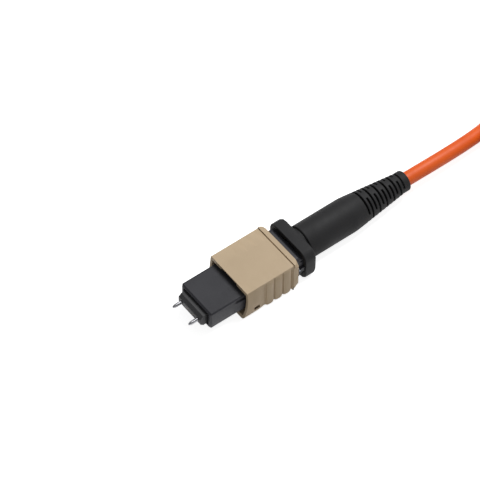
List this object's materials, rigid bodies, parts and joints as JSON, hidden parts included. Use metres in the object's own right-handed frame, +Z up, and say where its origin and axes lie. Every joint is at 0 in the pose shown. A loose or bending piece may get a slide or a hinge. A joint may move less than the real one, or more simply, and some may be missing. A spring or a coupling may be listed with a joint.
{
  "type": "mpo fibre connector",
  "caption": "Push-pull multi-fibre ribbon connector with guide pins, sprung ferrule and sleeve, slotted boot, and its patch cord folded into a tied hank and ending in a matching connector.",
  "frame": {"origin": "centre of the ferrule's end face, midway between the guide pins", "axes": "+X from the ferrule along the connector towards its cable, +Z up through the sleeve's top"},
  "size_m": [0.1806, 0.025, 0.0115],
  "materials": {
    "sleeve_plastic": "moulded, fine matt texture",
    "housing_plastic": "moulded, satin",
    "ferrule_plastic": "filled thermoset, polished end face",
    "boot_rubber": "matt soft plastic",
    "inner_rubber": "matt",
    "pin_steel": "polished",
    "spring_steel": "drawn wire",
    "crimp_metal": "nickel-plated",
    "cable_jacket": "extruded, satin",
    "aramid_fibre": "yarn",
    "ribbon_coating": "clear coating",
    "tie_fabric": "hook-and-loop strap"
  },
  "bodies": {
    "root": {"inner_housing": "housing_plastic", "spring_push": "housing_plastic", "aramid_yarn": "aramid_fibre", "crimp_ring": "crimp_metal", "strain_relief_boot": "boot_rubber", "ferrule_spring": "spring_steel", "fibre_ribbon": "ribbon_coating", "coupling_spring_left": "spring_steel", "coupling_spring_right": "spring_steel", "far_inner_housing": "housing_plastic", "far_spring_push": "housing_plastic", "far_aramid_yarn": "aramid_fibre", "far_crimp_ring": "crimp_metal", "far_strain_relief_boot": "boot_rubber", "far_ferrule_spring": "spring_steel", "far_fibre_ribbon": "ribbon_coating", "far_coupling_spring_left": "spring_steel", "far_coupling_spring_right": "spring_steel", "cable_lead": "cable_jacket", "cable_hank": "cable_jacket", "cable_tail": "cable_jacket", "hank_tie_left": "tie_fabric", "hank_tie_right": "tie_fabric"},
    "ferrule_float_group": {"mt_ferrule": "ferrule_plastic", "guide_pin_left": "pin_steel", "guide_pin_right": "pin_steel", "pin_clamp": "ferrule_plastic", "ferrule_boot": "inner_rubber"},
    "sleeve_group": {"coupling_sleeve": "sleeve_plastic"},
    "far_ferrule_float_group": {"far_mt_ferrule": "ferrule_plastic", "far_guide_pin_left": "pin_steel", "far_guide_pin_right": "pin_steel", "far_pin_clamp": "ferrule_plastic", "far_ferrule_boot": "inner_rubber"},
    "far_sleeve_group": {"far_coupling_sleeve": "sleeve_plastic"}
  },
  "joints": [
    {"name": "sleeve_slide", "type": "slide", "parent": "root", "child": "sleeve_group", "axis": [1, 0, 0], "range_m": [0, 0.0014], "stiffness_N_per_m": 400, "springref_m": -0.002, "deforming": ["coupling_spring_left", "coupling_spring_right"]},
    {"name": "ferrule_float", "type": "slide", "parent": "root", "child": "ferrule_float_group", "axis": [1, 0, 0], "range_m": [0, 0.001], "stiffness_N_per_m": 800, "springref_m": -0.002, "deforming": ["ferrule_spring", "fibre_ribbon"]},
    {"name": "far_sleeve_slide", "type": "slide", "parent": "root", "child": "far_sleeve_group", "axis": [-1, 0, 0], "range_m": [0, 0.0014], "stiffness_N_per_m": 400, "springref_m": -0.002, "deforming": ["far_coupling_spring_left", "far_coupling_spring_right"]},
    {"name": "far_ferrule_float", "type": "slide", "parent": "root", "child": "far_ferrule_float_group", "axis": [-1, 0, 0], "range_m": [0, 0.001], "stiffness_N_per_m": 800, "springref_m": -0.002, "deforming": ["far_ferrule_spring", "far_fibre_ribbon"]}
  ]
}
